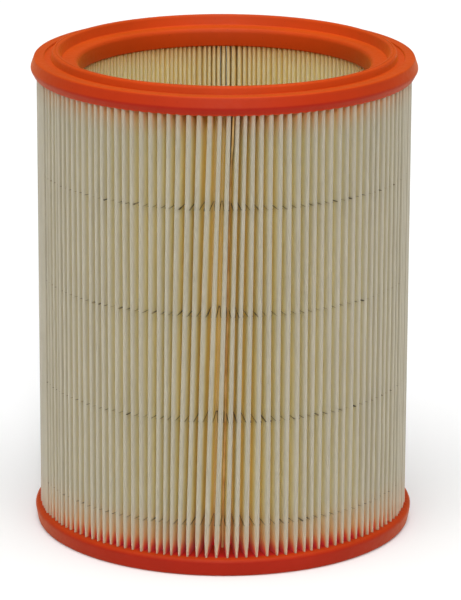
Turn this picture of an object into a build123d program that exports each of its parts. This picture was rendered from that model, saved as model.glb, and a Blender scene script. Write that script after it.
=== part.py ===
from build123d import *
from math import acos, atan2, cos, degrees, hypot, pi, sin
import os

# Pleated filter cartridge of a workshop dust extractor.
# A ring of pleated filter media stands between two polyurethane end caps, moulded on to its
# ends.  The top cap is an open ring with a raised seal bead, the bottom cap is closed.  Dusty
# air comes in through the pleats and clean air leaves through the bore of the top cap.
# Fine threads of hot-melt glue hold the pleats at their pitch, and one strip of hot-melt in
# the front valley joins the two ends of the media into a ring.
# Millimetres, +Z up, -Y is the front, origin at the centre of the resting face.

# ---- Overall ----
OVERALL_HEIGHT = 240.0  # resting face to the crest of the seal bead
CAP_RADIUS = 95.0  # both end caps, at their widest line

# ---- Pleated media ----
PLEAT_COUNT = 150
PLEAT_DEPTH = 19.2  # from the inner fold faces to the outer fold faces
MEDIA_THICKNESS = 0.5
FOLD_RADIUS = 0.4  # on the hollow side of every fold
CAP_EDGE_LAND = 3.2  # width of cap rim left outside the pleat tips
INNER_SKIN = 1.0  # cap material left inside the inner folds
TOP_POTTING_COVER = 3.0  # cap material between the media's upper end and the inner land
BOTTOM_POTTING_COVER = 3.5  # cap material between the media's lower end and the resting face

# ---- Top cap: heights, then widths from the outside in ----
BEAD_ABOVE_OUTER_LAND = 3.0
BEAD_ABOVE_INNER_LAND = 5.0
OUTER_STEP_DEPTH = 1.0  # groove floor below the outer land
TOP_RIM_HEIGHT = 8.8  # outer land down to the lower edge of the rim
TOP_WIDEST_BELOW_LAND = 5.6  # outer land down to the widest line
BORE_WALL_HEIGHT = 9.4  # inner land down to the lower edge of the bore wall
TOP_WALL_INSET = 1.9  # the rim's upper edge lies this far inside its widest line
TOP_UNDERCUT_INSET = 1.8  # the rim's lower edge lies this far inside its widest line
OUTER_LAND_WIDTH = 4.7
GROOVE_WIDTH = 3.6
BEAD_BASE_WIDTH = 5.0
BEAD_OUTER_LEAN = 0.5  # foot to crest, on the bead's outer flank
BEAD_INNER_LEAN = 1.3  # foot to crest, on the bead's inner flank

# ---- Bottom cap ----
BOTTOM_RIM_HEIGHT = 8.8
BOTTOM_WALL_INSET = 1.6  # the resting edge lies this far inside the widest line
WEB_TOP_HEIGHT = 6.5  # inside face of the closed floor
RECESS_DEPTH = 2.0  # the closed floor is raised by this much over the resting ring
RESTING_RING_WIDTH = 25.0  # from the widest line in to the recess
RECESS_DRAFT = 0.8

# ---- Round edges of both caps ----
SHARP = 0.0
LAND_EDGE_ROUND = 0.6
GROOVE_ROUND = 0.5
BEAD_ROUND = 1.3
BEAD_FOOT_ROUND = 0.6
BORE_EDGE_ROUND = 1.4
WIDEST_LINE_ROUND = 2.0
LOWER_EDGE_ROUND = 0.7
BOTTOM_RIDGE_ROUND = 0.9
RESTING_EDGE_ROUND = 1.5

# ---- Glue ----
THREAD_COUNT = 4  # on each face of the media
FIRST_THREAD_Z = 25.0  # middle of the lowest thread
THREAD_PITCH = 52.3
THREAD_HEIGHT = 1.2
THREAD_THICKNESS = 0.28  # must stay under FOLD_RADIUS, because it lines the hollow folds
SEAM_NEAR_TIP = 0.18  # where the strip starts on the flank, as a share from tip to root
SEAM_NEAR_ROOT = 0.90  # and where it ends

# ---- Worked out from the sizes above ----
PITCH_ANGLE = 2 * pi / PLEAT_COUNT
FRONT_ANGLE = -pi / 2
TIP_RADIUS = CAP_RADIUS - CAP_EDGE_LAND
ROOT_RADIUS = TIP_RADIUS - PLEAT_DEPTH
BORE_RADIUS = ROOT_RADIUS - INNER_SKIN
OUTER_LAND_Z = OVERALL_HEIGHT - BEAD_ABOVE_OUTER_LAND
INNER_LAND_Z = OVERALL_HEIGHT - BEAD_ABOVE_INNER_LAND
MEDIA_BOTTOM_Z = BOTTOM_POTTING_COVER
MEDIA_TOP_Z = INNER_LAND_Z - TOP_POTTING_COVER
MID_FOLD_RADIUS = FOLD_RADIUS + MEDIA_THICKNESS / 2
MEDIA_FACE = MEDIA_THICKNESS / 2  # distance of either face from the middle of the media
TIP_CENTRE_RADIUS = TIP_RADIUS - MEDIA_FACE - MID_FOLD_RADIUS
ROOT_CENTRE_RADIUS = ROOT_RADIUS + MEDIA_FACE + MID_FOLD_RADIUS


def polar(radius, angle):
    return Vector(radius * cos(angle), radius * sin(angle))


def turned(point, angle):
    return point.rotate(Axis.Z, degrees(angle))


def mirrored(point, angle):
    """The point mirrored across the line from the axis at this angle."""
    return polar(hypot(point.X, point.Y), 2 * angle - atan2(point.Y, point.X))


def flank_normal():
    """Unit normal of the flank beside a tip that lies on +X, pointing out of the pleat."""
    tip_centre = polar(TIP_CENTRE_RADIUS, 0)
    root_centre = polar(ROOT_CENTRE_RADIUS, PITCH_ANGLE / 2)
    between = root_centre - tip_centre
    lean = acos(2 * MID_FOLD_RADIUS / between.length)
    return polar(1, atan2(between.Y, between.X) - lean)


def flank_ends(offset):
    """Upper and lower end of that flank, on the face at this distance from mid-media."""
    normal = flank_normal()
    at_tip = polar(TIP_CENTRE_RADIUS, 0) + normal * (MID_FOLD_RADIUS + offset)
    at_root = polar(ROOT_CENTRE_RADIUS, PITCH_ANGLE / 2) - normal * (MID_FOLD_RADIUS - offset)
    return at_tip, at_root


def pleated_loop(offset):
    """The closed zigzag line round the axis, on the face at this distance from mid-media."""
    at_tip, at_root = flank_ends(offset)
    half = PITCH_ANGLE / 2
    tip_top = polar(TIP_CENTRE_RADIUS + MID_FOLD_RADIUS + offset, 0)
    root_top = polar(ROOT_CENTRE_RADIUS - MID_FOLD_RADIUS + offset, half)
    edges = []
    for k in range(PLEAT_COUNT):
        place = FRONT_ANGLE + half + k * PITCH_ANGLE
        tip = [turned(p, place) for p in (mirrored(at_tip, 0), tip_top, at_tip)]
        root = [turned(p, place) for p in (at_root, root_top, mirrored(at_root, half))]
        next_tip = turned(mirrored(at_tip, 0), place + PITCH_ANGLE)
        edges.append(Edge.make_three_point_arc(*tip))
        edges.append(Edge.make_line(tip[2], root[0]))
        edges.append(Edge.make_three_point_arc(*root))
        edges.append(Edge.make_line(root[2], next_tip))
    return Wire(edges)


def pleated_ring(inner_offset, outer_offset, bottom_z, top_z):
    face = Face(pleated_loop(outer_offset), [pleated_loop(inner_offset)])
    return Pos(0, 0, bottom_z) * extrude(face, top_z - bottom_z)


def pleated_core(offset):
    """All that lies inside one face of the media, as a solid over the media's height."""
    core = extrude(Face(pleated_loop(offset)), MEDIA_TOP_Z - MEDIA_BOTTOM_Z)
    return Pos(0, 0, MEDIA_BOTTOM_Z) * core


def ring_of(outline):
    """A body turned about Z from corners given as (radius, height, edge round).

    It starts a quarter pitch round, so that its closing line crosses a flank, not a fold.
    """
    corners = [(radius, height) for radius, height, _ in outline]
    rounds = [edge_round for _, _, edge_round in outline]
    profile = make_face(FilletPolyline(*corners, radius=rounds, close=True))
    return Rot(0, 0, degrees(PITCH_ANGLE / 4)) * revolve(Plane.XZ * profile, Axis.Z)


def seam_strip():
    """Hot-melt that fills the front valley from flank to flank, over the media's height."""
    at_tip, at_root = flank_ends(MEDIA_FACE)
    half = PITCH_ANGLE / 2
    run = at_root - at_tip
    near_tip = at_tip + run * SEAM_NEAR_TIP
    near_root = at_tip + run * SEAM_NEAR_ROOT
    corners = [near_tip, near_root, mirrored(near_root, half), mirrored(near_tip, half)]
    placed = [turned(p, FRONT_ANGLE - half) for p in corners]
    face = make_face(Polyline(*placed, close=True))
    return Pos(0, 0, MEDIA_BOTTOM_Z) * extrude(face, MEDIA_TOP_Z - MEDIA_BOTTOM_Z)


def thread_rows(inner_offset, outer_offset):
    """One glue thread between these two faces, repeated at every row."""
    thread = pleated_ring(inner_offset, outer_offset, -THREAD_HEIGHT / 2, THREAD_HEIGHT / 2)
    heights = [FIRST_THREAD_Z + row * THREAD_PITCH for row in range(THREAD_COUNT)]
    return [Pos(0, 0, height) * thread for height in heights]


def top_cap_body():
    wall_top = CAP_RADIUS - TOP_WALL_INSET
    land_in = wall_top - OUTER_LAND_WIDTH
    bead_out = land_in - GROOVE_WIDTH
    bead_in = bead_out - BEAD_BASE_WIDTH
    groove_z = OUTER_LAND_Z - OUTER_STEP_DEPTH
    return ring_of(
        [
            (wall_top, OUTER_LAND_Z, LAND_EDGE_ROUND),
            (CAP_RADIUS, OUTER_LAND_Z - TOP_WIDEST_BELOW_LAND, WIDEST_LINE_ROUND),
            (CAP_RADIUS - TOP_UNDERCUT_INSET, OUTER_LAND_Z - TOP_RIM_HEIGHT, LOWER_EDGE_ROUND),
            (BORE_RADIUS, INNER_LAND_Z - BORE_WALL_HEIGHT, LOWER_EDGE_ROUND),
            (BORE_RADIUS, INNER_LAND_Z, BORE_EDGE_ROUND),
            (bead_in, INNER_LAND_Z, BEAD_FOOT_ROUND),
            (bead_in + BEAD_INNER_LEAN, OVERALL_HEIGHT, BEAD_ROUND),
            (bead_out - BEAD_OUTER_LEAN, OVERALL_HEIGHT, BEAD_ROUND),
            (bead_out, groove_z, GROOVE_ROUND),
            (land_in, groove_z, SHARP),
            (land_in, OUTER_LAND_Z, SHARP),
        ]
    )


def bottom_cap_body():
    recess_edge = CAP_RADIUS - RESTING_RING_WIDTH
    return ring_of(
        [
            (0, RECESS_DEPTH, SHARP),
            (recess_edge - RECESS_DRAFT, RECESS_DEPTH, GROOVE_ROUND),
            (recess_edge, 0, GROOVE_ROUND),
            (CAP_RADIUS - BOTTOM_WALL_INSET, 0, RESTING_EDGE_ROUND),
            (CAP_RADIUS, BOTTOM_RIM_HEIGHT, BOTTOM_RIDGE_ROUND),
            (BORE_RADIUS, BOTTOM_RIM_HEIGHT, GROOVE_ROUND),
            (BORE_RADIUS, WEB_TOP_HEIGHT, GROOVE_ROUND),
            (0, WEB_TOP_HEIGHT, SHARP),
        ]
    )


def potted(body):
    """A cap body with the media cut out: what is outside the media, and what is inside it.

    Each half is cut by one closed zigzag, which holds at any size.  A cut by the media itself,
    a zigzag with a zigzag hole, sometimes leaves the cut-out standing as a second solid.
    """
    outside = body - pleated_core(MEDIA_FACE)
    inside = body & pleated_core(-MEDIA_FACE)
    return outside + inside


media = pleated_ring(-MEDIA_FACE, MEDIA_FACE, MEDIA_BOTTOM_Z, MEDIA_TOP_Z)
outer_threads = thread_rows(MEDIA_FACE, MEDIA_FACE + THREAD_THICKNESS)
inner_threads = thread_rows(-MEDIA_FACE - THREAD_THICKNESS, -MEDIA_FACE)
seam = seam_strip()
for thread in outer_threads:
    seam -= thread

nodes = {
    "top_end_cap": potted(top_cap_body()) - seam,
    "bottom_end_cap": potted(bottom_cap_body()) - seam,
    "pleated_media": media,
    "media_seam_bond": seam,
}
for row in range(THREAD_COUNT):
    nodes[f"outer_glue_thread_{row + 1}"] = outer_threads[row]
    nodes[f"inner_glue_thread_{row + 1}"] = inner_threads[row]

os.makedirs("parts", exist_ok=True)
for name, shape in nodes.items():
    shape.label = name
    export_step(shape, f"parts/{name}.step", write_pcurves=False)
    print(name, "volume", round(shape.volume), "solids", len(shape.solids()))
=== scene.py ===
# %% [markdown]
# # A pleated filter cartridge
#
# The object is the filter of a workshop dust extractor: a ring of folded filter fleece between
# two moulded polyurethane end caps.  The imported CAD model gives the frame: its sizes and places
# are read here and every piece is built around them.  Lengths in this file are written in
# millimetres and turned into metres once, by MM.

# %% Load the frame
import math
import bpy
import numpy as np
from mathutils import Matrix, Vector, noise


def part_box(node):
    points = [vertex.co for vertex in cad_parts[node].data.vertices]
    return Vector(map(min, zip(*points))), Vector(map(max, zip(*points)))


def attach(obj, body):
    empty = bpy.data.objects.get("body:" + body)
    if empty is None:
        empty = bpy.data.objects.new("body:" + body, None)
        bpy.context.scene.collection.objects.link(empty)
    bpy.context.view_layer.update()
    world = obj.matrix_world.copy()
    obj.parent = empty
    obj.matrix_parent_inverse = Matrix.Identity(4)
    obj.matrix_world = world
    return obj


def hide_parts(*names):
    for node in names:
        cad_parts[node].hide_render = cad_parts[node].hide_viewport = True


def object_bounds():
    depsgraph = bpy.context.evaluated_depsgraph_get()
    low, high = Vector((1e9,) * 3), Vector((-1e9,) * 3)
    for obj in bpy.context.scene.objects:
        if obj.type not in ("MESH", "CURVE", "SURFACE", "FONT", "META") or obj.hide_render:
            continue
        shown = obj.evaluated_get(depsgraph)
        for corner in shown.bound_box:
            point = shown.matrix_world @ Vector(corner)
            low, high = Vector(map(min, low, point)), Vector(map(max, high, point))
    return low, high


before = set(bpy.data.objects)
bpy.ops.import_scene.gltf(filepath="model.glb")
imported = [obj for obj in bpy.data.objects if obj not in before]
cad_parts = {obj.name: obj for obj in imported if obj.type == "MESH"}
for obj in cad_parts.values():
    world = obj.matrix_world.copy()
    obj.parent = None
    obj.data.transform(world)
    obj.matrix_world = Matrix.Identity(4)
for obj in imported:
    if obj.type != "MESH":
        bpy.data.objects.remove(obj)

MM = 0.001
SAME_PLACE = 0.001 * MM  # vertices nearer than this are taken as one
cad_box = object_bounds()
print("CAD nodes", sorted(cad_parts))


# %% [markdown]
# The CAD model says how wide and tall everything is.  A box gives the outer sizes, and the
# smallest distance of a node's vertices from the axis gives the inner ones: the bore of the top
# cap and the inner folds of the pleats.

# %% Read the sizes from the frame
def node_radii(node):
    """Smallest and largest distance of a node's vertices from the axis."""
    radii = [math.hypot(v.co.x, v.co.y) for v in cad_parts[node].data.vertices]
    return min(radii), max(radii)


OVERALL_HEIGHT = cad_box[1][2]
BORE_RADIUS, CAP_RADIUS = node_radii("top_end_cap")
ROOT_RADIUS, TIP_RADIUS = node_radii("pleated_media")
MEDIA_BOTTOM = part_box("pleated_media")[0].z
MEDIA_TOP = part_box("pleated_media")[1].z
BOTTOM_RIM_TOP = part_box("bottom_end_cap")[1].z
UNDER_TOP_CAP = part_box("top_end_cap")[0].z
THREAD_ROWS = 4
THREAD_HEIGHTS = []
for row in range(THREAD_ROWS):
    low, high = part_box(f"outer_glue_thread_{row + 1}")
    THREAD_HEIGHTS.append((low.z + high.z) / 2)
print("height", OVERALL_HEIGHT, "cap radius", CAP_RADIUS, "bore", BORE_RADIUS)
print("pleats from", ROOT_RADIUS, "to", TIP_RADIUS, "threads at", THREAD_HEIGHTS)

PLEAT_COUNT = 150
PITCH = 2 * math.pi / PLEAT_COUNT
MEDIA_THICKNESS = 0.5 * MM
FOLD_RADIUS = 0.65 * MM  # to the middle of the media
FRONT = -math.pi / 2  # the front of the object looks along -Y


# %% [markdown]
# Blender's edit-mode operators work on what is selected.  These helpers keep that plain: start
# clean, select by a rule, and read or write all vertices of a finished mesh at once.

# %% Small helpers
def nothing_selected():
    if bpy.context.mode != "OBJECT":
        bpy.ops.object.mode_set(mode="OBJECT")
    bpy.ops.object.select_all(action="DESELECT")


def pick(piece):
    nothing_selected()
    piece.select_set(True)
    bpy.context.view_layer.objects.active = piece


def start_edit(piece, whole=False):
    pick(piece)
    bpy.ops.object.mode_set(mode="EDIT")
    bpy.ops.mesh.select_all(action="SELECT" if whole else "DESELECT")


def end_edit():
    bpy.ops.object.mode_set(mode="OBJECT")


def select_vertices(piece, rule):
    """Selects, in edit mode, the vertices whose place the rule accepts."""
    end_edit()
    for v in piece.data.vertices:
        v.select = rule(v.co)
    for e in piece.data.edges:
        e.select = all(piece.data.vertices[i].select for i in e.vertices)
    for f in piece.data.polygons:
        f.select = all(piece.data.vertices[i].select for i in f.vertices)
    bpy.ops.object.mode_set(mode="EDIT")


def points_of(piece):
    found = np.zeros(len(piece.data.vertices) * 3)
    piece.data.vertices.foreach_get("co", found)
    return found.reshape(-1, 3)


def put_points(piece, points):
    piece.data.vertices.foreach_set("co", points.ravel())
    piece.data.update()


def apply_place(piece):
    pick(piece)
    bpy.ops.object.transform_apply(location=True, rotation=True, scale=True)


def finish_modifier(piece, kind, **settings):
    """Adds one modifier and applies it at once."""
    pick(piece)
    modifier = piece.modifiers.new(kind, kind)
    for name, value in settings.items():
        setattr(modifier, name, value)
    bpy.ops.object.modifier_apply(modifier=modifier.name)


def smooth(piece, degrees):
    pick(piece)
    bpy.ops.object.shade_smooth_by_angle(angle=math.radians(degrees))


def report(piece):
    triangles = sum(len(f.vertices) - 2 for f in piece.data.polygons)
    print(piece.name, "vertices", len(piece.data.vertices), "triangles", triangles)


# %% [markdown]
# Every piece is first made with even pleats, because even things can be copied.  A real pack is
# never even: the folds are wider apart at the front than at the back, each one is a little off
# its place, and at the front the folds lean.  One function says where an evenly made point ends
# up, so the media, the threads, the seam and the ripples in the caps all move together.

# %% How the pack sits in the real cartridge
SPREAD = 0.20  # the pitch is this much wider at the widest place than on average
WIDEST_AT = math.radians(18)  # measured round from the front, towards +X
SEAM_AT = math.radians(1.0)
LEAN = math.radians(3.9)  # how far a leaning fold moves round from end to end
LEAN_AT = math.radians(-5)
LEAN_WIDTH = math.radians(13)
UNEVEN = ((37, 1.3, 0.10), (61, 0.4, 0.07), (19, 2.0, 0.22))  # waves round, phase, degrees
FREE_HEIGHT = OVERALL_HEIGHT - 2 * BOTTOM_RIM_TOP


def wrapped(angle):
    return (angle + math.pi) % (2 * math.pi) - math.pi


def as_made(points):
    """Where evenly made points lie in the real pack: only turned round the axis."""
    radius = np.hypot(points[:, 0], points[:, 1])
    even = wrapped(np.arctan2(points[:, 1], points[:, 0]) - FRONT)
    placed = even + SPREAD * np.sin(even - WIDEST_AT) + SPREAD * math.sin(WIDEST_AT) + SEAM_AT
    for waves, phase, size in UNEVEN:
        placed = placed + math.radians(size) * np.sin(waves * even + phase)
    share = (points[:, 2] - OVERALL_HEIGHT / 2) / FREE_HEIGHT
    leaning = np.exp(-((wrapped(placed - LEAN_AT) / LEAN_WIDTH) ** 2))
    placed = placed + LEAN * leaning * share + FRONT
    return np.column_stack((radius * np.cos(placed), radius * np.sin(placed), points[:, 2]))


def pleat_phase(points):
    """-0.5 to 0.5 across each evenly made pleat, 0 on its outer fold."""
    angle = np.arctan2(points[:, 1], points[:, 0]) - FRONT - PITCH / 2
    return (angle / PITCH + 0.5) % 1.0 - 0.5


def soft_step(value, start, end):
    share = np.clip((value - start) / (end - start), 0, 1)
    return share * share * (3 - 2 * share)


# %% [markdown]
# One pleat is a flank, an outer fold, a second flank and an inner fold.  It is drawn as a hand
# would: a narrow upright grid is the first flank, then its last edge is spun round the outer
# fold's centre, extruded down the second flank and spun round the inner fold's centre.

# %% Draw one pleat
FOLD_STEPS = 4
MEDIA_ROWS = 15


def fold_geometry(offset):
    """Centres and flank ends of a pleat whose outer fold lies on +X, at this offset."""
    half = PITCH / 2
    tip = Vector((TIP_RADIUS - MEDIA_THICKNESS / 2 - FOLD_RADIUS, 0, 0))
    reach = ROOT_RADIUS + MEDIA_THICKNESS / 2 + FOLD_RADIUS
    root = Vector((reach * math.cos(half), reach * math.sin(half), 0))
    between = root - tip
    lean = math.acos(2 * FOLD_RADIUS / between.length)
    turn = math.atan2(between.y, between.x) - lean
    normal = Vector((math.cos(turn), math.sin(turn), 0))
    at_tip = tip + normal * (FOLD_RADIUS + offset)
    at_root = root - normal * (FOLD_RADIUS - offset)
    return tip, root, turn, at_tip, at_root


def pleat_sheet(name, offset, low, high, rows, cuts=()):
    """One pleat of a sheet at this distance from the middle of the media, low to high."""
    tip, root, turn, at_tip, at_root = fold_geometry(offset)
    half = PITCH / 2
    start = Vector((at_root.x, -at_root.y, 0))
    end = Vector((at_tip.x, -at_tip.y, 0))
    nothing_selected()
    bpy.ops.mesh.primitive_grid_add(x_subdivisions=2, y_subdivisions=rows, size=1)
    sheet = bpy.context.object
    sheet.name = name
    flat = points_of(sheet)
    along = flat[:, :1] + 0.5
    raised = np.array(start)[None] * (1 - along) + np.array(end)[None] * along
    raised[:, 2] = low + (flat[:, 1] + 0.5) * (high - low)
    put_points(sheet, raised)
    start_edit(sheet)
    select_vertices(sheet, lambda co: (co - Vector((end.x, end.y, co.z))).length < SAME_PLACE)
    opening = -2 * turn  # spin turns clockwise about an upward axis
    bpy.ops.mesh.spin(steps=FOLD_STEPS, angle=opening, center=tip, axis=(0, 0, 1))
    for _ in range(2):
        bpy.ops.mesh.extrude_region_move(
            TRANSFORM_OT_translate={"value": (at_root - at_tip) / 2}
        )
    closing = 2 * (turn - half)
    bpy.ops.mesh.spin(steps=FOLD_STEPS, angle=closing, center=root, axis=(0, 0, 1))
    for height in cuts:
        bpy.ops.mesh.select_all(action="SELECT")
        bpy.ops.mesh.bisect(plane_co=(0, 0, height), plane_no=(0, 0, 1))
    end_edit()
    return sheet


# %% [markdown]
# The pleat is then copied round the axis and its open edges are merged, which gives one closed
# zigzag wall.  Before the wall gets its thickness it is made real: the outer folds are pinched
# where they run down into the bottom cap, no two folds stand out by quite the same amount, and
# the whole pack takes its uneven places.

# %% Copy a pleat into a ring
def ring_of_pleats(sheet):
    start_edit(sheet, whole=True)
    bpy.ops.mesh.spin(
        steps=PLEAT_COUNT - 1,
        dupli=True,
        angle=PITCH * (PLEAT_COUNT - 1),
        center=(0, 0, 0),
        axis=(0, 0, 1),
    )
    bpy.ops.mesh.select_all(action="SELECT")
    bpy.ops.mesh.remove_doubles(threshold=0.01 * MM)
    bpy.ops.mesh.normals_make_consistent(inside=False)
    end_edit()
    return sheet


PINCH_HEIGHT = 9 * MM  # the outer folds narrow over this height above the bottom cap
PINCH = 0.62  # and lose this share of their width
PINCH_DEPTH = 7 * MM  # measured in from the outer folds
FOLD_STAGGER = 0.16 * MM
FOLD_WOBBLE = math.radians(0.07)


def hand_folded(points):
    """Evenly made points with the small irregularities of folded fleece."""
    radius = np.hypot(points[:, 0], points[:, 1])
    angle = np.arctan2(points[:, 1], points[:, 0])
    near_tip = soft_step(radius, TIP_RADIUS - PINCH_DEPTH, TIP_RADIUS - MM)
    low = 1 - soft_step(points[:, 2], BOTTOM_RIM_TOP, BOTTOM_RIM_TOP + PINCH_HEIGHT)
    angle = angle - PINCH * low * near_tip * pleat_phase(points) * PITCH
    pleat = np.round((angle - FRONT) / PITCH - 0.5)
    stagger = np.sin(pleat * 2.4) + 0.7 * np.sin(pleat * 1.1 + 1) + 0.5 * np.sin(pleat * 0.35)
    radius = radius + FOLD_STAGGER * stagger * near_tip
    angle = angle + FOLD_WOBBLE * np.sin(points[:, 2] / (38 * MM) + pleat * 1.7) * near_tip
    return np.column_stack((radius * np.cos(angle), radius * np.sin(angle), points[:, 2]))


# %% Pleated media
PINCH_CUTS = (0.5, 2.5, 5, 7.5)  # mm above the rim, extra rows so that the pinch is smooth
pinch_cuts = [BOTTOM_RIM_TOP + step * MM for step in PINCH_CUTS]
media = pleat_sheet("filter_fleece_pleats", 0, MEDIA_BOTTOM, MEDIA_TOP, MEDIA_ROWS, pinch_cuts)
ring_of_pleats(media)
put_points(media, as_made(hand_folded(points_of(media))))
finish_modifier(media, "SOLIDIFY", thickness=MEDIA_THICKNESS, offset=0, use_even_offset=True)
smooth(media, 60)
report(media)


# %% [markdown]
# The glue threads follow the folded face.  Each is the same zigzag at a slightly larger or
# smaller offset, only a millimetre tall.  On the machine the glue is drawn out as the fleece
# moves, so the thread is a hair in most places and a small dark bead in others.  A noise along
# its path sets that height.

# %% Glue threads
THREAD_PROUD = 0.12 * MM
THREAD_THICKNESS = 0.26 * MM
THREAD_HAIR = 0.09 * MM  # half height where it is thinnest
THREAD_BEAD = 0.42 * MM  # half height in a bead
THREAD_SUNK = 0.42 * MM  # how far it goes into the fleece where it can't be seen
BEAD_GRAIN = 520.0  # beads per metre, about one every two millimetres
GAP_GRAIN = 260.0
WANDER_GRAIN = 120.0
WANDER = 0.6 * MM  # how far the thread strays up or down
BEAD_FROM = 0.08  # beads form where the noise is above this
BEAD_SLOPE = 3.5
GAP_BELOW = 0.02  # gaps form where the noise is below this
GAP_SLOPE = 9
SINK_FROM = 0.7 * MM  # the thread starts to sink this far inside the outer folds
SINK_WITHIN = 0.3 * MM
FLATTENED = 0.8  # share of its height that a hidden stretch loses


def within_one(value):
    return max(0.0, min(1.0, value))


def drawn_out(points, middle, seed):
    """Squeezes a straight band into a thread: beads, hairs, and gaps where it has sunk in."""
    shaped = points.copy()
    for i, (x, y, z) in enumerate(points):
        radius = math.hypot(x, y)
        rough = noise.noise(Vector((x * BEAD_GRAIN, y * BEAD_GRAIN, seed)))
        there = noise.noise(Vector((x * GAP_GRAIN, y * GAP_GRAIN, seed + 3)))
        wander = noise.noise(Vector((x * WANDER_GRAIN, y * WANDER_GRAIN, seed + 7)))
        bead = within_one((rough - BEAD_FROM) * BEAD_SLOPE)
        half = THREAD_HAIR + (THREAD_BEAD - THREAD_HAIR) * bead
        shaped[i, 2] = middle + (z - middle) / MM * half + wander * WANDER
        on_tip = within_one((radius - TIP_RADIUS + SINK_FROM) / SINK_WITHIN)
        hidden = max(on_tip, within_one((GAP_BELOW - there) * GAP_SLOPE))
        shaped[i, :2] *= 1 - THREAD_SUNK * hidden * on_tip / radius
        shaped[i, 2] = middle + (shaped[i, 2] - middle) * (1 - FLATTENED * hidden)
    return shaped


def glue_thread(name, middle, outside, seed):
    side = 1 if outside else -1
    offset = side * (MEDIA_THICKNESS / 2 + THREAD_PROUD)
    thread = pleat_sheet(name, offset, middle - MM, middle + MM, 2)
    ring_of_pleats(thread)
    formed = hand_folded(drawn_out(points_of(thread), middle, seed))
    put_points(thread, as_made(formed))
    finish_modifier(thread, "SOLIDIFY", thickness=THREAD_THICKNESS, offset=0)
    smooth(thread, 60)
    report(thread)
    return thread


threads = {}
for row, middle in enumerate(THREAD_HEIGHTS):
    for side in ("outer", "inner"):
        node = f"{side}_glue_thread_{row + 1}"
        threads[node] = glue_thread(f"{node}_bead", middle, side == "outer", row * 3.7)


# %% [markdown]
# The end caps are turned shapes.  A potter's wheel works the same way here: a circle is added
# at the first point of the outline, and each further point extrudes it and scales it to the
# next radius.  The circle has six points to a pleat, so that the ripples where the cast
# material meets the folds can follow them.

# %% Turn an outline
ROUND_STEPS = 5
SEGMENTS = PLEAT_COUNT * 6


def rounded(corners):
    """Corners given as (radius, height, edge round), as one line with arcs at the rounds."""
    line = []
    for i, (radius, height, size) in enumerate(corners):
        here = Vector((radius, height))
        if size == 0:
            line.append(here)
            continue
        back = (Vector(corners[i - 1][:2]) - here).normalized()
        ahead = (Vector(corners[(i + 1) % len(corners)][:2]) - here).normalized()
        half = back.angle(ahead) / 2
        centre = here + (back + ahead).normalized() * (size / math.sin(half))
        start = here + back * (size / math.tan(half)) - centre
        sweep = start.angle_signed(here + ahead * (size / math.tan(half)) - centre)
        for step in range(ROUND_STEPS + 1):
            turned = start.copy()
            turned.rotate(Matrix.Rotation(-sweep * step / ROUND_STEPS, 2))
            line.append(centre + turned)
    return line


def spaced(line, closed, longest, inside):
    """Adds points along the stretches of a line that lie between two radii."""
    found = []
    for i, here in enumerate(line):
        found.append(here)
        if i + 1 == len(line) and not closed:
            break
        after = line[(i + 1) % len(line)]
        within = inside[0] <= min(here.x, after.x) and max(here.x, after.x) <= inside[1]
        cuts = int((after - here).length / longest) if within else 0
        for cut in range(cuts):
            found.append(here.lerp(after, (cut + 1) / (cuts + 1)))
    return found


def on_circle(co, corner):
    """Whether a vertex lies on the circle that a corner of the outline was turned into."""
    off_radius = abs(math.hypot(co.x, co.y) - corner.x)
    return off_radius < SAME_PLACE and abs(co.z - corner.y) < SAME_PLACE


def turned_piece(name, line, closed):
    nothing_selected()
    first = line[0]
    bpy.ops.mesh.primitive_circle_add(
        vertices=SEGMENTS, radius=first.x, location=(0, 0, first.y), fill_type="NOTHING"
    )
    piece = bpy.context.object
    piece.name = name
    apply_place(piece)
    start_edit(piece, whole=True)
    for here, after in zip(line, line[1:]):
        grow = after.x / here.x
        bpy.ops.mesh.extrude_region_move(
            TRANSFORM_OT_translate={"value": (0, 0, after.y - here.y)}
        )
        bpy.ops.transform.resize(value=(grow, grow, 1), center_override=(0, 0, after.y))
    if closed:
        select_vertices(piece, lambda co: on_circle(co, line[0]) or on_circle(co, line[-1]))
        bpy.ops.mesh.bridge_edge_loops()
    else:
        bpy.ops.mesh.extrude_region_move()
        bpy.ops.mesh.merge(type="CENTER")
        select_vertices(piece, lambda co: on_circle(co, line[0]))
        bpy.ops.mesh.extrude_region_move()
        bpy.ops.mesh.merge(type="CENTER")
    bpy.ops.mesh.select_all(action="SELECT")
    bpy.ops.mesh.normals_make_consistent(inside=False)
    end_edit()
    return piece


# %% [markdown]
# The top cap has a flat outer land, a small step down into a groove, a raised bead that seals
# against the machine, and a flat inner land with a soft edge into the bore.  Where the cast
# material meets the folds it has crept a little up or down between them, which shows as a row
# of small ripples, one between each pair of folds.

# %% Top cap
INNER_LAND = 8.2 * MM  # widths of the top face, from the bore outwards
BEAD_WIDTH = 5.0 * MM
GROOVE_WIDTH = 3.6 * MM
OUTER_LAND = 4.7 * MM
BEAD_OVER_INNER_LAND = 5.0 * MM
BEAD_OVER_OUTER_LAND = 3.0 * MM
GROOVE_DEPTH = 1.0 * MM
BORE_WALL = 9.4 * MM
WALL_FLARE = 1.9 * MM  # the outer wall is this much wider at its widest line
WIDEST_DROP = 5.6 * MM  # from the outer land down to the widest line
WALL_DROP = 8.8 * MM  # and to the wall's lower edge
WALL_TUCK = 1.8 * MM  # how far that edge lies inside the widest line
INNER_LEAN = 1.3 * MM  # foot to crest on the bead's two flanks
OUTER_LEAN = 0.5 * MM
BORE_ROUND = 2.4 * MM
BEAD_ROUND = 1.3 * MM
WALL_ROUND = 1.1 * MM
WIDEST_ROUND = 2.0 * MM
bead_in = BORE_RADIUS + INNER_LAND
bead_out = bead_in + BEAD_WIDTH
land_in = bead_out + GROOVE_WIDTH
wall_top = land_in + OUTER_LAND
widest = wall_top + WALL_FLARE
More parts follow.
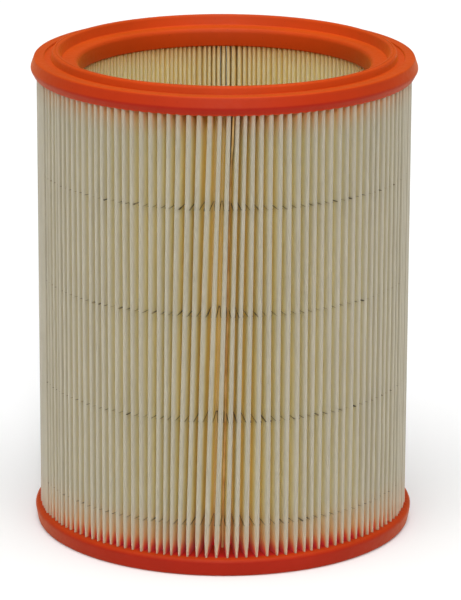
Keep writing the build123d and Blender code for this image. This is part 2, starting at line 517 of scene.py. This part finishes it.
crest = OVERALL_HEIGHT
outer_land_z = crest - BEAD_OVER_OUTER_LAND
inner_land_z = crest - BEAD_OVER_INNER_LAND
groove_z = outer_land_z - GROOVE_DEPTH
WITNESS_DEPTH = 0.35 * MM  # the fine line that the two halves of the mould leave on the bead
WITNESS_HALF = 0.18 * MM
witness = bead_in + 3.0 * MM

top_outline = rounded(
    [
        (BORE_RADIUS, inner_land_z - BORE_WALL, 0.7 * MM),
        (BORE_RADIUS, inner_land_z, BORE_ROUND),
        (bead_in, inner_land_z, 0.6 * MM),
        (bead_in + INNER_LEAN, crest, BEAD_ROUND),
        (witness - WITNESS_HALF, crest, 0),
        (witness, crest - WITNESS_DEPTH, 0),
        (witness + WITNESS_HALF, crest, 0),
        (bead_out - OUTER_LEAN, crest, BEAD_ROUND),
        (bead_out, groove_z, 0.5 * MM),
        (land_in - 0.2 * MM, groove_z, 0.3 * MM),
        (land_in, outer_land_z, 0.25 * MM),
        (wall_top, outer_land_z, WALL_ROUND),
        (widest, outer_land_z - WIDEST_DROP, WIDEST_ROUND),
        (widest - WALL_TUCK, outer_land_z - WALL_DROP, 0.7 * MM),
    ]
)
top_outline = spaced(top_outline, True, 0.8 * MM, (88 * MM, widest))
top_cap = turned_piece("top_cap_moulding", top_outline, True)

RIPPLE_REACH = 0.75 * MM
RIPPLE_SHAPE = 0.8  # below 1 makes the creep broad and its edges at the folds narrow
TOP_RIPPLE = 0.45 * MM
TOP_RIPPLE_AT = TIP_RADIUS + 0.6 * MM


def ripple(points, height, where):
    """Creep between the folds: nothing at a fold, full height between two."""
    radius = np.hypot(points[:, 0], points[:, 1])
    between = np.sin(math.pi * np.abs(pleat_phase(points))) ** RIPPLE_SHAPE
    near = np.exp(-(((radius - where) / RIPPLE_REACH) ** 2))
    return height * between * near


shape = points_of(top_cap)
UNDERSIDE = 7.0 * MM  # all that lies more than this below the outer land
under = shape[:, 2] < outer_land_z - UNDERSIDE
shape[under, 2] -= ripple(shape[under], TOP_RIPPLE, TOP_RIPPLE_AT)
put_points(top_cap, as_made(shape))
smooth(top_cap, 50)
report(top_cap)


# %% [markdown]
# The bottom cap is a closed dish of the same material: a rim that the folds stand in, a floor
# a little lower than the rim, and a shallow recess underneath, so that it rests on a ring.

# %% Bottom cap
BOTTOM_RIPPLE = 1.15 * MM
BOTTOM_RIPPLE_AT = TIP_RADIUS - 0.15 * MM
RECESS = 2.0 * MM
FLOOR_TOP = 6.5 * MM
POLE = 6.0 * MM  # the last circle before the middle
RESTING_RING = 25.0 * MM  # from the widest line in to the recess
WALL_INSET = 1.6 * MM  # the resting edge lies this far inside the widest line
RIM_ROUND = 1.9 * MM
recess_edge = widest - RESTING_RING
bottom_outline = rounded(
    [
        (POLE, RECESS, 0),
        (recess_edge - 0.8 * MM, RECESS, 0.5 * MM),
        (recess_edge, 0, 0.5 * MM),
        (widest - WALL_INSET, 0, 1.5 * MM),
        (widest, BOTTOM_RIM_TOP, RIM_ROUND),
        (BORE_RADIUS, BOTTOM_RIM_TOP, 0.5 * MM),
        (BORE_RADIUS, FLOOR_TOP, 0.5 * MM),
        (POLE, FLOOR_TOP, 0),
    ]
)
bottom_outline = spaced(bottom_outline, False, 0.5 * MM, (90 * MM, widest))
bottom_cap = turned_piece("bottom_cap_moulding", bottom_outline, False)
shape = points_of(bottom_cap)
above = shape[:, 2] > BOTTOM_RIM_TOP - 0.6 * MM
shape[above, 2] += ripple(shape[above], BOTTOM_RIPPLE, BOTTOM_RIPPLE_AT)
put_points(bottom_cap, as_made(shape))
smooth(bottom_cap, 50)
report(bottom_cap)


# %% [markdown]
# One strip of hot-melt glue in the front valley joins the two ends of the fleece.  Near the top
# cap its edge comes far enough out to be seen as a thin amber line between two folds.

# %% Seam strip
SEAM_HALF = 0.40 * MM
SEAM_IN = ROOT_RADIUS + 2 * MM
SEAM_OUT = TIP_RADIUS - 15 * MM
SEAM_RISE = 13.0 * MM  # how much further out it comes under the top cap
SEAM_ROWS = 24
SEAM_RISES = (OVERALL_HEIGHT * 0.82, OVERALL_HEIGHT * 0.89)  # between these heights
SEAM_WAVE = 0.10 * MM  # sideways, every few centimetres
SEAM_WAVE_RUN = 9 * MM

nothing_selected()
bpy.ops.mesh.primitive_cube_add(size=1)
seam = bpy.context.object
seam.name = "media_seam_strip"
seam.scale = (2 * SEAM_HALF, SEAM_OUT - SEAM_IN, MEDIA_TOP - MEDIA_BOTTOM)
seam.location = (0, -(SEAM_OUT + SEAM_IN) / 2, (MEDIA_TOP + MEDIA_BOTTOM) / 2)
apply_place(seam)
start_edit(seam, whole=True)
for cut in range(1, SEAM_ROWS):
    height = MEDIA_BOTTOM + (MEDIA_TOP - MEDIA_BOTTOM) * cut / SEAM_ROWS
    bpy.ops.mesh.select_all(action="SELECT")
    bpy.ops.mesh.bisect(plane_co=(0, 0, height), plane_no=(0, 0, 1))
end_edit()
finish_modifier(seam, "BEVEL", width=0.15 * MM, segments=2, limit_method="ANGLE")
shape = points_of(seam)
outermost = shape[:, 1] < -(SEAM_OUT - MM)
high = soft_step(shape[:, 2], *SEAM_RISES)
shape[outermost, 1] -= SEAM_RISE * high[outermost]
shape[:, 0] += SEAM_WAVE * np.sin(shape[:, 2] / SEAM_WAVE_RUN)
put_points(seam, as_made(shape))
smooth(seam, 50)
report(seam)


# %% [markdown]
# Polyester fleece is matt, slightly hairy, and thin enough for light to pass through it.  Light
# that falls into a valley is passed from flank to flank and picks up the colour of the fibres
# each time, so the valleys look golden and the outer folds nearly grey.  A tint by distance from
# the axis paints that golden glow into the colour as well.  Near the caps the colour holds
# painted
# orange light reflected from the caps: a painted crimson shade just above the bottom rim, then
# orange fading out over a finger's width.

# %% Material helpers
def new_material(name):
    material = bpy.data.materials.new(name)
    material.use_nodes = True
    nodes = material.node_tree.nodes
    return material, nodes, material.node_tree.links, nodes["Principled BSDF"]


def object_place(nodes, links, stretch=(1, 1, 1)):
    place = nodes.new("ShaderNodeTexCoord")
    mapping = nodes.new("ShaderNodeMapping")
    mapping.inputs["Scale"].default_value = stretch
    links.new(place.outputs["Object"], mapping.inputs["Vector"])
    return mapping.outputs["Vector"]


def noise_at(nodes, links, vector, scale, detail=3.0, roughness=0.6):
    found = nodes.new("ShaderNodeTexNoise")
    found.inputs["Scale"].default_value = scale
    found.inputs["Detail"].default_value = detail
    found.inputs["Roughness"].default_value = roughness
    links.new(vector, found.inputs["Vector"])
    return found.outputs["Fac"]


def colour_ramp(nodes, links, factor, stops):
    ramp = nodes.new("ShaderNodeValToRGB")
    elements = ramp.color_ramp.elements
    while len(elements) < len(stops):
        elements.new(0.5)
    for element, (position, colour) in zip(elements, stops):
        element.position = position
        element.color = (*colour, 1)
    links.new(factor, ramp.inputs["Fac"])
    return ramp.outputs["Color"]


def blended(nodes, links, kind, factor, a, b):
    mix = nodes.new("ShaderNodeMix")
    mix.data_type = "RGBA"
    mix.blend_type = kind
    mix.clamp_factor = True
    for value, name in ((factor, 0), (a, 6), (b, 7)):
        if isinstance(value, (int, float)):
            mix.inputs[name].default_value = value
        elif isinstance(value, tuple):
            mix.inputs[name].default_value = (*value, 1)
        else:
            links.new(value, mix.inputs[name])
    return mix.outputs[2]


def ranged(nodes, links, value, low, high, to_low, to_high):
    scaled = nodes.new("ShaderNodeMapRange")
    scaled.inputs["From Min"].default_value = low
    scaled.inputs["From Max"].default_value = high
    scaled.inputs["To Min"].default_value = to_low
    scaled.inputs["To Max"].default_value = to_high
    links.new(value, scaled.inputs["Value"])
    return scaled.outputs["Result"]


def combined(nodes, links, kind, a, b):
    sums = nodes.new("ShaderNodeMath")
    sums.operation = kind
    links.new(a, sums.inputs[0])
    links.new(b, sums.inputs[1])
    return sums.outputs["Value"]


def bumped(nodes, links, shader, height, distance, strength, normal=None):
    bump = nodes.new("ShaderNodeBump")
    bump.inputs["Distance"].default_value = distance
    bump.inputs["Strength"].default_value = strength
    links.new(height, bump.inputs["Height"])
    if normal is not None:
        links.new(normal, bump.inputs["Normal"])
    links.new(bump.outputs["Normal"], shader.inputs["Normal"])
    return bump.outputs["Normal"]


def distance_from_axis(nodes, links):
    flat = object_place(nodes, links, (1, 1, 0))
    length = nodes.new("ShaderNodeVectorMath")
    length.operation = "LENGTH"
    links.new(flat, length.inputs[0])
    return length.outputs["Value"]


# %% Fleece
# Painted light: the deeper a fold lies, the more golden its colour, standing for light passed
# between the flanks.
FLEECE_DEEP_GLOW = (1.0, 0.82, 0.26)
FLEECE_FLANK = (0.68, 0.57, 0.28)
FLEECE_TIP = (0.40, 0.36, 0.27)
FLEECE_INNER = (0.80, 0.64, 0.34)
# Painted orange light reflected from the caps onto the folds near them.
PAINTED_CAP_REFLECTION = (0.80, 0.21, 0.006)
PAINTED_CRIMSON_SHADE = (0.85, 0.020, 0.022)  # painted crimson shade where the folds leave the bottom cap
CAP_REFLECTION_RISE = 26 * MM  # how far the painted orange reflection of the caps reaches up the folds from the bottom cap
CAP_REFLECTION_DROP = 13 * MM  # and down them from the top cap
CRIMSON_SHADE_RISE = 7 * MM  # how far up the painted crimson shade goes
LIGHT_REACH = 3 * MM  # how far light travels in the fleece
FLEECE_PAINTED_GLOW = (  # painted golden glow, by depth, from 0 on the inner folds to 1 on the outer ones
    (0.0, FLEECE_INNER),
    (0.1, FLEECE_DEEP_GLOW),
    (0.5, FLEECE_DEEP_GLOW),
    (0.82, FLEECE_FLANK),
    (0.97, FLEECE_TIP),
)


def fleece():
    material, nodes, links, shader = new_material("filter_fleece")
    depth = ranged(
        nodes, links, distance_from_axis(nodes, links), ROOT_RADIUS, TIP_RADIUS, 0, 1
    )
    # The tint by depth paints the golden glow of light passed between the flanks.
    tint = colour_ramp(nodes, links, depth, FLEECE_PAINTED_GLOW)
    height = nodes.new("ShaderNodeSeparateXYZ")
    links.new(object_place(nodes, links), height.inputs["Vector"])
    z = height.outputs["Z"]
    # Painted reflection of the caps: strongest next to them, and weaker on the outer folds.
    low = ranged(nodes, links, z, BOTTOM_RIM_TOP, BOTTOM_RIM_TOP + CAP_REFLECTION_RISE, 1, 0)
    high = ranged(nodes, links, z, UNDER_TOP_CAP - CAP_REFLECTION_DROP, UNDER_TOP_CAP, 0, 0.75)
    nearest = combined(nodes, links, "MAXIMUM", low, high)
    squared = combined(nodes, links, "MULTIPLY", nearest, nearest)
    behind_tip = ranged(nodes, links, depth, 0.91, 0.98, 1, 0.2)
    cap_reflection = combined(nodes, links, "MULTIPLY", squared, behind_tip)
    tint = blended(nodes, links, "MIX", cap_reflection, tint, PAINTED_CAP_REFLECTION)
    # Painted crimson shade in the valleys just above the bottom cap.
    crimson_shade = ranged(nodes, links, z, BOTTOM_RIM_TOP + MM, BOTTOM_RIM_TOP + CRIMSON_SHADE_RISE, 1, 0)
    between_tips = ranged(nodes, links, depth, 0.88, 0.96, 1, 0)
    crimson_shade = combined(nodes, links, "MULTIPLY", crimson_shade, between_tips)
    tint = blended(nodes, links, "MIX", crimson_shade, tint, PAINTED_CRIMSON_SHADE)
    fibres = noise_at(nodes, links, object_place(nodes, links, (1, 1, 0.35)), 900, 4)
    clouds = noise_at(nodes, links, object_place(nodes, links, (1, 1, 0.4)), 45, 3)
    mottled = colour_ramp(nodes, links, clouds, [(0.3, (0.93,) * 3), (0.7, (1.0,) * 3)])
    hairy = colour_ramp(nodes, links, fibres, [(0.3, (0.97,) * 3), (0.7, (1.0,) * 3)])
    colour = blended(nodes, links, "MULTIPLY", 1.0, tint, mottled)
    colour = blended(nodes, links, "MULTIPLY", 1.0, colour, hairy)
    links.new(colour, shader.inputs["Base Color"])
    shader.inputs["Roughness"].default_value = 0.92
    shader.inputs["Specular IOR Level"].default_value = 0.15
    shader.inputs["Subsurface Weight"].default_value = 1.0
    shader.inputs["Subsurface Scale"].default_value = LIGHT_REACH
    shader.inputs["Subsurface Radius"].default_value = (1, 1, 1)
    shader.inputs["Sheen Weight"].default_value = 0.08
    shader.inputs["Sheen Roughness"].default_value = 0.6
    bumped(nodes, links, shader, fibres, 0.05 * MM, 0.5)
    return material


# %% [markdown]
# The caps are cast from orange polyurethane.  The skin is satin, a little uneven where it ran
# against the mould, and has pinholes from fine air bubbles.  Painted light makes faces that look
# up a paler orange than the outer walls, and painted shade makes the cast between the folds
# crimson.

# %% Cast polyurethane
CAST_TOPS_PAINTED_LIGHT = (0.56, 0.056, 0.003)  # painted light: the lighter copy given to faces that look up
CAST_WALLS_PAINTED_SHADE = (0.33, 0.010, 0.002)  # painted shade: the darker copy of the same colour, given to the walls
CAST_FOLDS_PAINTED_SHADE = (0.42, 0.007, 0.012)  # painted shade on the cast between the folds
CAST_SHEEN = (1.0, 0.30, 0.02)


def cast_polyurethane():
    material, nodes, links, shader = new_material("cast_polyurethane")
    place = object_place(nodes, links)
    facing = nodes.new("ShaderNodeSeparateXYZ")
    links.new(nodes.new("ShaderNodeNewGeometry").outputs["Normal"], facing.inputs["Vector"])
    # Painted light and shade: faces that look up get the lighter copy of the colour, walls the
    # darker one.
    upward = ranged(nodes, links, facing.outputs["Z"], 0.1, 0.85, 0, 1)
    across = distance_from_axis(nodes, links)
    height = nodes.new("ShaderNodeSeparateXYZ")
    links.new(place, height.inputs["Vector"])
    at_top = ranged(
        nodes, links, height.outputs["Z"], UNDER_TOP_CAP - 2 * MM, UNDER_TOP_CAP - MM, 0, 1
    )
    # More painted light on the inside of the top cap, and less on the bottom cap's upward faces.
    inside = ranged(nodes, links, across, CAP_RADIUS - 3 * MM, CAP_RADIUS - MM, 0.8, 0)
    inside = combined(nodes, links, "MULTIPLY", inside, at_top)
    pale = combined(nodes, links, "MAXIMUM", upward, inside)
    rim_share = ranged(nodes, links, at_top, 0, 1, 0.4, 1)
    pale = combined(nodes, links, "MULTIPLY", pale, rim_share)
    colour = blended(nodes, links, "MIX", pale, CAST_WALLS_PAINTED_SHADE, CAST_TOPS_PAINTED_LIGHT)
    # Painted shade: the cast inward of the outer folds, low down, is darkened to crimson.
    low = ranged(nodes, links, height.outputs["Z"], 2 * BOTTOM_RIM_TOP, 3 * BOTTOM_RIM_TOP, 1, 0)
    behind = ranged(nodes, links, across, TIP_RADIUS - 1.1 * MM, TIP_RADIUS - 0.7 * MM, 1, 0)
    folds_shade = combined(nodes, links, "MULTIPLY", low, behind)
    colour = blended(nodes, links, "MIX", folds_shade, colour, CAST_FOLDS_PAINTED_SHADE)
    clouds = noise_at(nodes, links, place, 28, 4)
    patches = colour_ramp(nodes, links, clouds, [(0.35, (0.90,) * 3), (0.65, (1.0,) * 3)])
    colour = blended(nodes, links, "MULTIPLY", 1.0, colour, patches)
    holes = nodes.new("ShaderNodeTexVoronoi")
    holes.inputs["Scale"].default_value = 260
    links.new(place, holes.inputs["Vector"])
    pinholes = ranged(nodes, links, holes.outputs["Distance"], 0.02, 0.12, 0, 1)
    colour = blended(nodes, links, "MULTIPLY", 0.25, colour, pinholes)
    links.new(colour, shader.inputs["Base Color"])
    skin = noise_at(nodes, links, place, 420, 3)
    links.new(ranged(nodes, links, skin, 0.3, 0.7, 0.45, 0.6), shader.inputs["Roughness"])
    shader.inputs["Specular IOR Level"].default_value = 0.12
    shader.inputs["Sheen Weight"].default_value = 0.3
    shader.inputs["Sheen Roughness"].default_value = 0.5
    shader.inputs["Sheen Tint"].default_value = (*CAST_SHEEN, 1)
    flow = bumped(nodes, links, shader, skin, 0.03 * MM, 0.5)
    bumped(nodes, links, shader, pinholes, 0.08 * MM, 0.35, flow)
    return material


# %% Hot-melt glue
GLUE_DARK = (0.055, 0.040, 0.020)
GLUE_LIGHT = (0.30, 0.24, 0.13)
SEAM_AMBER = (0.46, 0.27, 0.07)
SEAM_PALE = (0.62, 0.44, 0.18)


def hot_melt(name, dark, light, scale):
    material, nodes, links, shader = new_material(name)
    place = object_place(nodes, links)
    patches = noise_at(nodes, links, place, scale, 2)
    colour = colour_ramp(nodes, links, patches, [(0.40, dark), (0.62, light)])
    links.new(colour, shader.inputs["Base Color"])
    shader.inputs["Roughness"].default_value = 0.5
    lumps = noise_at(nodes, links, place, 700, 2)
    bumped(nodes, links, shader, lumps, 0.05 * MM, 0.6)
    return material


# %% Dress the pieces
FLEECE = fleece()
CAST = cast_polyurethane()
THREAD_GLUE = hot_melt("hot_melt_thread", GLUE_DARK, GLUE_LIGHT, 160)
SEAM_GLUE = hot_melt("hot_melt_seam", SEAM_AMBER, SEAM_PALE, 90)


def placed(piece, material, slot, *nodes):
    piece.data.materials.clear()
    piece.data.materials.append(material)
    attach(piece, "root")
    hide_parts(*nodes)


placed(top_cap, CAST, "moulded_polyurethane", "top_end_cap")
placed(bottom_cap, CAST, "moulded_polyurethane", "bottom_end_cap")
placed(media, FLEECE, "filter_fleece", "pleated_media")
placed(seam, SEAM_GLUE, "hot_melt_seam", "media_seam_bond")
for node, thread in threads.items():
    placed(thread, THREAD_GLUE, "hot_melt_thread", node)


# %% [markdown]
# A pale floor, a pale surround and large soft lights, as in a small product studio.  The
# strongest light comes from above.  Two lights from the front fill the folds, a narrow one that
# reaches down into them and a broad one, and a soft panel on each side rounds off the cylinder.

# %% Floor and light
nothing_selected()
bpy.ops.mesh.primitive_plane_add(size=8, location=(0, 0, 0))
floor = bpy.context.object
floor.name = "studio_floor"
floor_paint, nodes, links, shader = new_material("studio_floor_paint")
shader.inputs["Base Color"].default_value = (0.93, 0.93, 0.93, 1)
shader.inputs["Roughness"].default_value = 0.9
shader.inputs["Specular IOR Level"].default_value = 0.1
floor.data.materials.append(floor_paint)

SKY = 0.22  # strength of the even light from all round
OVERHEAD = 2.1
KEY = 0.95  # a narrow light from the front, which reaches down into the folds
WIDE = 0.95  # a broad one, which lights both flanks of the outer folds
SIDE = 0.6  # watts
RIGHT_SHARE = 1.3  # the right side is this much stronger than the left

world = bpy.data.worlds.new("studio_air")
bpy.context.scene.world = world
world.use_nodes = True
world.node_tree.nodes["Background"].inputs["Color"].default_value = (1, 1, 1, 1)
world.node_tree.nodes["Background"].inputs["Strength"].default_value = SKY


def soft_light(name, place, size, power):
    nothing_selected()
    bpy.ops.object.light_add(type="AREA", location=place)
    light = bpy.context.object
    light.name = name
    light.data.shape = "RECTANGLE"
    light.data.size, light.data.size_y = size
    light.data.energy = power
    target = Vector((0, 0, OVERALL_HEIGHT / 2))
    light.rotation_euler = (target - Vector(place)).to_track_quat("-Z", "Y").to_euler()
    return light


def distant_light(name, back, turn, power, softness):
    """Parallel light, tipped back from straight down and turned about the object, in degrees."""
    nothing_selected()
    bpy.ops.object.light_add(type="SUN", location=(0, 0, 2))
    light = bpy.context.object
    light.name = name
    light.data.energy = power
    light.data.angle = math.radians(softness)
    light.rotation_euler = (math.radians(back), 0, math.radians(turn))


distant_light("overhead", 10, 0, OVERHEAD, 50)
distant_light("narrow_front", 62, 2, KEY, 12)
distant_light("broad_front", 62, -6, WIDE, 85)
soft_light("left_side", (-1.5, -0.3, 0.5), (0.8, 1.0), SIDE)
soft_light("right_side", (1.5, -0.3, 0.5), (0.8, 1.0), SIDE * RIGHT_SHARE)


# %% [markdown]
# The camera stands nearly two metres in front and looks down a little, with a long lens, so the
# cylinder's sides stay almost parallel.  Colours go out as they are lit, with no film look, and
# light may pass between matt faces eight times, because the folds are lit by little else.

# %% Camera
CAMERA_BACK = 1.775
CAMERA_HEIGHT = 0.625
CAMERA_DOWN = math.radians(16.12)
CAMERA_TURN = math.radians(0.11)  # to the right
CAMERA_ROLL = math.radians(0.22)
CAMERA_LENS = 222.3

nothing_selected()
bpy.ops.object.camera_add(location=(0, -CAMERA_BACK, CAMERA_HEIGHT))
camera = bpy.context.object
camera.name = "camera"
camera.data.lens = CAMERA_LENS
camera.data.sensor_width = 36
camera.data.clip_end = 20
camera.rotation_mode = "XYZ"
camera.rotation_euler = (math.pi / 2 - CAMERA_DOWN, 0, -CAMERA_TURN)
camera.rotation_euler.rotate_axis("Z", CAMERA_ROLL)
bpy.context.scene.camera = camera
bpy.context.scene.view_settings.view_transform = "Standard"
bpy.context.scene.cycles.diffuse_bounces = 8


# %% Finish
bpy.context.view_layer.update()
